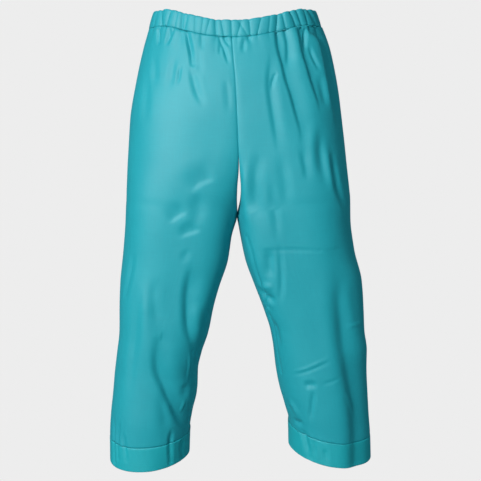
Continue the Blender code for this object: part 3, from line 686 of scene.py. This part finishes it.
def poplin_material(name, colour, shade_colour, finish):
    """Plain-woven polyester-cotton poplin: fine even threads, matt, with a soft pale sheen."""
    material, tree, shader = new_material(name)
    cloth = add_node(tree, "ShaderNodeUVMap", uv_map="cloth").outputs["UV"]
    place = add_node(tree, "ShaderNodeTexCoord").outputs["Object"]
    # The real threads are about 0.25 mm apart, which is too fine to show, so the spacing is a little coarser.
    # The Wave node repeats every 2 pi / 20 divided by its scale.
    threads = {"Vector": cloth, "Scale": WAVE_PERIOD / finish.thread_spacing, "Distortion": 0.4}
    warp = add_node(tree, "ShaderNodeTexWave", threads, bands_direction="X")
    weft = add_node(tree, "ShaderNodeTexWave", threads, bands_direction="Y")
    both_threads = {0: warp.outputs["Fac"], 1: weft.outputs["Fac"]}
    weave = add_node(tree, "ShaderNodeMath", both_threads, operation="MAXIMUM")
    # Uneven threads, about 1 mm wide and 30 mm long, along the warp and the weft
    slub_across = add_node(tree, "ShaderNodeMapping", {"Vector": cloth, "Scale": (30, 900, 1)})
    slub_down = add_node(tree, "ShaderNodeMapping", {"Vector": cloth, "Scale": (900, 30, 1)})
    across = add_node(tree, "ShaderNodeTexNoise", {"Vector": slub_across.outputs["Vector"], "Scale": 1.0})
    lengthwise = add_node(tree, "ShaderNodeTexNoise", {"Vector": slub_down.outputs["Vector"], "Scale": 1.0})
    both_slubs = {0: across.outputs["Fac"], 1: lengthwise.outputs["Fac"]}
    slubs = add_node(tree, "ShaderNodeMath", both_slubs, operation="ADD")
    mottle = add_node(tree, "ShaderNodeTexNoise", {"Vector": place, "Scale": 14.0, "Detail": 3.0})
    slubs_and_mottle = {0: slubs.outputs["Value"], 1: mottle.outputs["Fac"]}
    unevenness = add_node(tree, "ShaderNodeMath", slubs_and_mottle, operation="ADD")
    spread_of_tones = {"Value": unevenness.outputs["Value"], "From Min": 1.1, "From Max": 1.9}
    tone = add_node(tree, "ShaderNodeMapRange", spread_of_tones)
    # Inputs 6 and 7 are the Mix node's two colours.
    tones = {"Factor": tone.outputs["Result"], 6: linear_colour(shade_colour), 7: linear_colour(colour)}
    mix = add_node(tree, "ShaderNodeMix", tones, data_type="RGBA")
    # Fine wrinkles, about 14 mm across, that a worn cloth keeps
    wrinkles = {"Vector": place, "Scale": 70.0, "Detail": 2.0, "Roughness": 0.45}
    crumple = add_node(tree, "ShaderNodeTexNoise", wrinkles)
    soft = add_node(
        tree, "ShaderNodeBump", {"Height": crumple.outputs["Fac"], "Strength": 0.22, "Distance": 1.2 * MM}
    )
    fine = add_node(tree, "ShaderNodeBump", {
        "Height": weave.outputs["Value"],
        "Strength": 0.25,
        "Distance": 0.1 * MM,
        "Normal": soft.outputs["Normal"],
    })
    tree.links.new(mix.outputs[2], shader.inputs["Base Color"])
    tree.links.new(fine.outputs["Normal"], shader.inputs["Normal"])
    shader.inputs["Roughness"].default_value = finish.roughness
    shader.inputs["Specular IOR Level"].default_value = finish.specular
    shader.inputs["Sheen Weight"].default_value = finish.sheen
    shader.inputs["Sheen Roughness"].default_value = 0.5
    shader.inputs["Sheen Tint"].default_value = linear_colour("E8FAFC")
    return material


def thread_material(name, colour):
    """Spun polyester sewing thread: a little glossier than the cloth."""
    material, tree, shader = new_material(name)
    place = add_node(tree, "ShaderNodeTexCoord").outputs["Object"]
    twist = add_node(tree, "ShaderNodeTexNoise", {"Vector": place, "Scale": 900.0})
    relief = add_node(
        tree, "ShaderNodeBump", {"Height": twist.outputs["Fac"], "Strength": 0.4, "Distance": 0.1 * MM}
    )
    tree.links.new(relief.outputs["Normal"], shader.inputs["Normal"])
    shader.inputs["Base Color"].default_value = linear_colour(colour)
    shader.inputs["Roughness"].default_value = 0.5
    return material


def give_material(piece, material):
    piece.data.materials.clear()
    piece.data.materials.append(material)


# Settings


class TrousersCloth(bpy.types.PropertyGroup):
    """Sizes of the cloth."""

    thickness: bpy.props.FloatProperty(
        name="Cloth thickness", description="Of one layer", default=0.6 * MM, unit="LENGTH", precision=4
    )
    puff: bpy.props.FloatProperty(
        name="Gathers", description="Depth of the casing's gathers, 1 as on the real one", default=1.0
    )
    stitch: bpy.props.FloatProperty(
        name="Stitch length",
        description="From one stitch to the next",
        default=3.0 * MM,
        unit="LENGTH",
        precision=4,
    )


class TrousersFinish(bpy.types.PropertyGroup):
    """Colours and finish of the cloth and thread."""

    cloth_colour: bpy.props.StringProperty(name="Cloth", description="sRGB hex", default="14B2BF")
    cloth_shade: bpy.props.StringProperty(
        name="Cloth, darker threads", description="sRGB hex", default="0EA9B7"
    )
    hem_colour: bpy.props.StringProperty(name="Double cloth", description="sRGB hex", default="04BAC4")
    hem_shade: bpy.props.StringProperty(
        name="Double cloth, darker threads", description="sRGB hex", default="02B0BA"
    )
    thread_colour: bpy.props.StringProperty(name="Thread", description="sRGB hex", default="35C4CE")
    thread_spacing: bpy.props.FloatProperty(
        name="Thread spacing",
        description="Between the cloth's threads",
        default=0.45 * MM,
        unit="LENGTH",
        precision=5,
    )
    roughness: bpy.props.FloatProperty(
        name="Roughness", description="Of the cloth", default=0.62, min=0, max=1
    )
    specular: bpy.props.FloatProperty(
        name="Specular", description="Of the cloth", default=1.0, min=0, max=1
    )
    sheen: bpy.props.FloatProperty(
        name="Sheen", description="Of the cloth's fibres", default=0.03, min=0, max=1
    )


class TrousersStage(bpy.types.PropertyGroup):
    """Studio around the trousers."""

    backdrop: bpy.props.StringProperty(name="Backdrop", description="sRGB hex", default="EDEDED")
    key_power: bpy.props.FloatProperty(name="Key light", description="Its power", default=92, unit="POWER")
    fill_power: bpy.props.FloatProperty(name="Fill light", description="Its power", default=6, unit="POWER")
    ambient: bpy.props.FloatProperty(
        name="Ambient", description="Strength of the light all round", default=0.28
    )
    ambient_colour: bpy.props.StringProperty(name="Ambient colour", description="sRGB hex", default="78DCE6")


# Pieces


PANELS = {
    "front_right": (RIGHT, FRONT),
    "front_left": (LEFT, FRONT),
    "back_right": (RIGHT, BACK),
    "back_left": (LEFT, BACK),
}


class TROUSERS_OT_legs(bpy.types.Operator):
    """Cut and crease the four leg panels"""

    bl_idname = "trousers.legs"
    bl_label = "Leg panels"

    def execute(self, context):
        cloth, finish = context.scene.trousers_cloth, context.scene.trousers_finish
        poplin = poplin_material("poplin", finish.cloth_colour, finish.cloth_shade, finish)
        for node, (side, face) in PANELS.items():
            points, _ = shaped_panel(side, face)
            panel = lay_cloth(f"{node}_cloth", points, cloth.thickness, flip=side * face < 0)
            give_material(panel, poplin)
            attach(panel, "root")
            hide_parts(node)
        return {"FINISHED"}


class TROUSERS_OT_waistband(bpy.types.Operator):
    """Fold the casing and gather it on its elastic"""

    bl_idname = "trousers.waistband"
    bl_label = "Waistband"

    def execute(self, context):
        cloth, finish = context.scene.trousers_cloth, context.scene.trousers_finish
        points = casing_rows(cloth.puff)
        band = lay_cloth("waistband_cloth", points, CASING_LAYER, closed=True)
        give_material(band, poplin_material("poplin_casing", finish.cloth_colour, finish.cloth_shade, finish))
        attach(band, "root")
        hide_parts("waistband", "waist_elastic")
        return {"FINISHED"}


def casing_ring(place):
    """The bare way round the waist, anticlockwise from above, starting at the right side seam."""
    quarters = []
    for side, face in ((RIGHT, FRONT), (LEFT, FRONT), (LEFT, BACK), (RIGHT, BACK)):
        curves = half_rounds(side, face, np.array([place]))
        row = spread(curves, lambda length: np.linspace(0, length, BAND_COLUMNS + 1))[0]
        starts_outside = (side, face) in ((RIGHT, FRONT), (LEFT, BACK))
        quarters.append((row[::-1] if starts_outside else row)[:-1])
    return np.concatenate(quarters)


def level_outward(ring):
    """Level unit vectors out from a ring that runs anticlockwise."""
    along = np.roll(ring, -1, axis=0) - np.roll(ring, 1, axis=0)
    along = along[:, :2] / np.linalg.norm(along[:, :2], axis=1, keepdims=True)
    return np.stack([along[:, 1], -along[:, 0], np.zeros(len(ring))], axis=1)


def casing_rows(puff):
    """Rows of the casing: up inside, over its top edge and down outside to its stitching."""
    around = np.arange(4 * BAND_COLUMNS) / BAND_COLUMNS
    radius = CASING_DEPTH / 2
    heights = np.linspace(1, radius / CASING_HEIGHT, 22)
    rows = []
    for share in heights[::2]:
        rows.append((share, CASING_DEPTH - 0.3 * MM * math.sin(math.pi * share), 0.0))
    for angle in np.linspace(0, math.pi, 9)[1:-1]:
        rows.append((radius / CASING_HEIGHT, radius * (1 + math.cos(angle)), radius * math.sin(angle)))
    for share in heights[::-1]:
        bulge = CASING_BULGE * math.sin(math.pi * share) ** 0.7
        edge = 0.15 * MM * math.exp(-(((1 - share) * CASING_HEIGHT / (2.0 * MM)) ** 2))
        rows.append((share, edge - bulge, 0.0))
    grid = []
    for share, inset, rise in rows:
        ring = casing_ring(WAIST_TOP + share * (CASING_END - WAIST_TOP))
        out = level_outward(ring)
        down = share * CASING_HEIGHT
        gather = gather_depth(around, np.full(len(around), down), puff)
        ring = ring - out * (inset + gather)[:, None]
        dip = gather_depth(around, np.zeros(len(around)), puff) * 0.55 * (1 - share) ** 2
        ring[:, 2] += rise - dip
        grid.append(ring)
    return np.array(grid)


class TROUSERS_OT_hems(bpy.types.Operator):
    """Turn up the two hems"""

    bl_idname = "trousers.hems"
    bl_label = "Hems"

    def execute(self, context):
        cloth, finish = context.scene.trousers_cloth, context.scene.trousers_finish
        double = poplin_material("poplin_double", finish.hem_colour, finish.hem_shade, finish)
        for side, node in ((RIGHT, "hem_right"), (LEFT, "hem_left")):
            points = hem_rows(side)
            hem = lay_cloth(f"{node}_cloth", points, cloth.thickness, closed=True, flip=False)
            give_material(hem, double)
            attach(hem, "root")
            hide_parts(node)
        return {"FINISHED"}


def hem_rows(side):
    """Rows of one hem: down the inside, round its bottom edge and up the outside."""
    places = places_down(HEM_TOP, HEM_END, 24)
    halves = []
    for face in (FRONT, BACK):
        curves = half_rounds(side, face, places)
        points = spread(curves, lambda length: np.linspace(0, length, HEM_COLUMNS + 1))
        normals = outward(points, side * face)
        reach = np.array([arc_lengths(row) for row in points])
        from_seam = np.minimum(reach, reach[:, -1:] - reach)
        fade = smooth_step(from_seam / CREASE_FADE)
        down = np.array([arc_lengths(points[:, i]) for i in range(points.shape[1])]).T
        depth = creases_at(side, face, points, normals) * fade + undulation(points) * fade
        depth += 0.6 * SEAM_GROOVE * np.exp(-((from_seam / SEAM_GROOVE_WIDTH) ** 2))
        depth += hem_puckers(side, face, points) * np.exp(-down / PUCKER_REACH)
        depth += 0.5 * MM * np.exp(-((down / (1.6 * MM)) ** 2)) - 0.3 * MM
        halves.append((points, normals, depth))
    last = len(places) - 1
    rows = [(i, 2 * HEM_FOLD, 0.0) for i in range(last % 2, last + 1, 2)]
    for angle in np.linspace(0, math.pi, 7)[1:-1]:
        rows.append((last, HEM_FOLD * (1 + math.cos(angle)), HEM_FOLD * math.sin(angle)))
    rows += [(i, 0.0, 0.0) for i in range(last, -1, -1)]
    grid = []
    for i, inset, drop in rows:
        ring = []
        for points, normals, depth in halves:
            row = points[i] - normals[i] * (depth[i] + inset)[:, None]
            row[:, 2] -= drop
            ring.append(row)
        front, back = ring
        ring = np.concatenate([front[:-1], back[::-1][:-1]])
        grid.append(ring if side == LEFT else ring[::-1])
    return np.array(grid)


class TROUSERS_OT_stitching(bpy.types.Operator):
    """Sew the mock fly, the casing and the hems"""

    bl_idname = "trousers.stitching"
    bl_label = "Stitching"

    def execute(self, context):
        cloth, finish = context.scene.trousers_cloth, context.scene.trousers_finish
        thread = thread_material("polyester_thread", finish.thread_colour)
        lines = {
            "fly_stitches": [fly_line()],
            "casing_stitches": [casing_line(cloth.puff)],
            "hem_stitches": hem_lines(),
        }
        for name, paths in lines.items():
            stitches = sew(name, paths, cloth.stitch)
            give_material(stitches, thread)
            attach(stitches, "root")
        return {"FINISHED"}


EDGE_ROW = -3  # the casing and the hems are stitched down along this row of theirs


def fly_line():
    points, normals = shaped_panel(LEFT, FRONT)
    grid = np.concatenate([points, normals], axis=2)
    path = smooth_path(np.array(FLY_STITCHES, dtype=float) * MM, steps=12)
    lifted = np.array([lift(LEFT, grid, x, z) for x, z in path])
    return lifted[:, :3], lifted[:, 3:]


def casing_line(puff):
    ring = casing_rows(puff)[EDGE_ROW]
    out = level_outward(ring)
    closed = np.concatenate([ring, ring[:1]])
    return closed, np.concatenate([out, out[:1]])


def hem_lines():
    lines = []
    for side in (RIGHT, LEFT):
        ring = hem_rows(side)[EDGE_ROW]
        out = level_outward(ring)
        lines.append((np.concatenate([ring, ring[:1]]), np.concatenate([out, out[:1]])))
    return lines


def sew(name, paths, spacing):
    """One mesh of stitches along the paths, each path being points and the unit vectors out of the cloth."""
    deselect_all()
    bpy.ops.mesh.primitive_uv_sphere_add(segments=6, ring_count=4, radius=1)
    pattern = bpy.context.object
    pattern.data.transform(((0, 0, 1, 0), (0, 1, 0, 0), (-1, 0, 0, 0), (0, 0, 0, 1)))
    shape = np.empty(len(pattern.data.vertices) * 3)
    pattern.data.vertices.foreach_get("co", shape)
    shape = shape.reshape(-1, 3) * [0.40 * spacing, 0.28 * MM, 0.22 * MM]
    vertices = []
    for points, normals in paths:
        reach = arc_lengths(points)
        spots = np.arange(spacing / 2, reach[-1], spacing)
        for spot in spots:
            here = np.array([np.interp(spot, reach, points[:, i]) for i in range(3)])
            ahead = np.array([np.interp(spot + 0.4 * spacing, reach, points[:, i]) for i in range(3)])
            up = np.array([np.interp(spot, reach, normals[:, i]) for i in range(3)])
            run = ahead - here
            run /= np.linalg.norm(run)
            across = np.cross(up, run)
            across /= np.linalg.norm(across)
            up = np.cross(run, across)
            vertices.append(here + 0.1 * MM * up + shape @ np.array([run, across, up]))
    copies = pattern.modifiers.new("copies", "ARRAY")
    copies.count = len(vertices)
    copies.use_relative_offset = False
    copies.use_constant_offset = True
    copies.constant_offset_displace = (0.01, 0, 0)
    bpy.ops.object.modifier_apply(modifier=copies.name)
    pattern.name = pattern.data.name = name
    pattern.data.vertices.foreach_set("co", np.concatenate(vertices).ravel())
    bpy.ops.object.shade_smooth()
    return pattern


# Studio

FLOOR_GAP = 0.03  # below the hems, in metres like all places here
KEY_PLACE, KEY_TARGET, KEY_SIZE = (-1.7, -2.75, 0.75), (0.0, 0.0, -0.40), 1.0
FILL_PLACE, FILL_TARGET, FILL_SIZE = (0.9, -2.4, 1.6), (0.0, 0.0, -0.45), 1.8
CAMERA_PLACE = (0.0063, -1.90, -0.24475)
CAMERA_DIP = 4.9  # degrees below the horizon
LENS = 79.0  # in millimetres, as is the sensor
SENSOR = 36.0


class TROUSERS_OT_stage(bpy.types.Operator):
    """Set up the backdrop, floor, lights and camera"""

    bl_idname = "trousers.stage"
    bl_label = "Studio"

    def execute(self, context):
        settings = context.scene.trousers_stage
        context.scene.view_settings.view_transform = "Standard"
        add_backdrop(settings.backdrop)
        world = bpy.data.worlds.new("studio")
        world.use_nodes = True
        background = world.node_tree.nodes["Background"]
        background.inputs["Color"].default_value = linear_colour(settings.ambient_colour)
        background.inputs["Strength"].default_value = settings.ambient
        context.scene.world = world
        add_light("key", KEY_PLACE, KEY_TARGET, KEY_SIZE, settings.key_power)
        add_light("fill", FILL_PLACE, FILL_TARGET, FILL_SIZE, settings.fill_power)
        bpy.ops.object.camera_add(location=CAMERA_PLACE, rotation=(math.radians(90 - CAMERA_DIP), 0, 0))
        camera = bpy.context.object
        camera.name = "photo_camera"
        camera.data.lens = LENS
        camera.data.sensor_width = SENSOR
        context.scene.camera = camera
        return {"FINISHED"}


def add_backdrop(colour):
    """An evenly lit paper backdrop and floor, which throw no light or shadow on the trousers."""
    paper = bpy.data.materials.new("studio_paper")
    paper.use_nodes = True
    tree = paper.node_tree
    tree.nodes.clear()
    glow = add_node(tree, "ShaderNodeEmission", {"Color": linear_colour(colour), "Strength": 1.0})
    add_node(tree, "ShaderNodeOutputMaterial", {"Surface": glow.outputs["Emission"]})
    deselect_all()
    bpy.ops.mesh.primitive_uv_sphere_add(segments=64, ring_count=32, radius=12, location=(0, 0, -0.4))
    backdrop = bpy.context.object
    backdrop.name = "studio_backdrop"
    bpy.ops.object.transform_apply(location=True, rotation=True, scale=True)
    bpy.ops.mesh.primitive_plane_add(size=24, location=(0, 0, CAD_BOX[0][2] - FLOOR_GAP))
    floor = bpy.context.object
    floor.name = "studio_floor"
    bpy.ops.object.transform_apply(location=True, rotation=True, scale=True)
    for surface in (backdrop, floor):
        give_material(surface, paper)
        surface.visible_diffuse = False
        surface.visible_glossy = False
        surface.visible_shadow = False


def add_light(name, location, target, size, power):
    """A square soft box that faces the target."""
    bpy.ops.object.light_add(type="AREA", location=location)
    light = bpy.context.object
    light.name = name
    direction = np.array(target) - np.array(location)
    pitch = math.atan2(math.hypot(direction[0], direction[1]), -direction[2])
    turn = math.atan2(direction[1], direction[0]) - math.pi / 2
    light.rotation_euler = (pitch, 0, turn)
    light.data.shape = "SQUARE"
    light.data.size = size
    light.data.energy = power


class TROUSERS_PT_pieces(bpy.types.Panel):
    """Lists the trousers' pieces and settings"""

    bl_idname = "TROUSERS_PT_pieces"
    bl_label = "Scrub trousers"
    bl_space_type = "VIEW_3D"
    bl_region_type = "UI"
    bl_category = "Trousers"

    def draw(self, context):
        scene = context.scene
        for group in (scene.trousers_cloth, scene.trousers_finish, scene.trousers_stage):
            box = self.layout.box()
            for name in group.bl_rna.properties.keys():
                if name not in ("rna_type", "name"):
                    box.prop(group, name)
        for operator in OPERATORS:
            self.layout.operator(operator.bl_idname)


OPERATORS = (
    TROUSERS_OT_legs,
    TROUSERS_OT_waistband,
    TROUSERS_OT_hems,
    TROUSERS_OT_stitching,
    TROUSERS_OT_stage,
)
CLASSES = (TrousersCloth, TrousersFinish, TrousersStage, *OPERATORS, TROUSERS_PT_pieces)


def register():
    for cls in CLASSES:
        bpy.utils.register_class(cls)
    bpy.types.Scene.trousers_cloth = bpy.props.PointerProperty(type=TrousersCloth)
    bpy.types.Scene.trousers_finish = bpy.props.PointerProperty(type=TrousersFinish)
    bpy.types.Scene.trousers_stage = bpy.props.PointerProperty(type=TrousersStage)


def unregister():
    del bpy.types.Scene.trousers_stage
    del bpy.types.Scene.trousers_finish
    del bpy.types.Scene.trousers_cloth
    for cls in reversed(CLASSES):
        bpy.utils.unregister_class(cls)


def main():
    register()
    bpy.ops.trousers.legs()
    bpy.ops.trousers.waistband()
    bpy.ops.trousers.hems()
    bpy.ops.trousers.stitching()
    bpy.ops.trousers.stage()


if __name__ == "__main__":
    main()
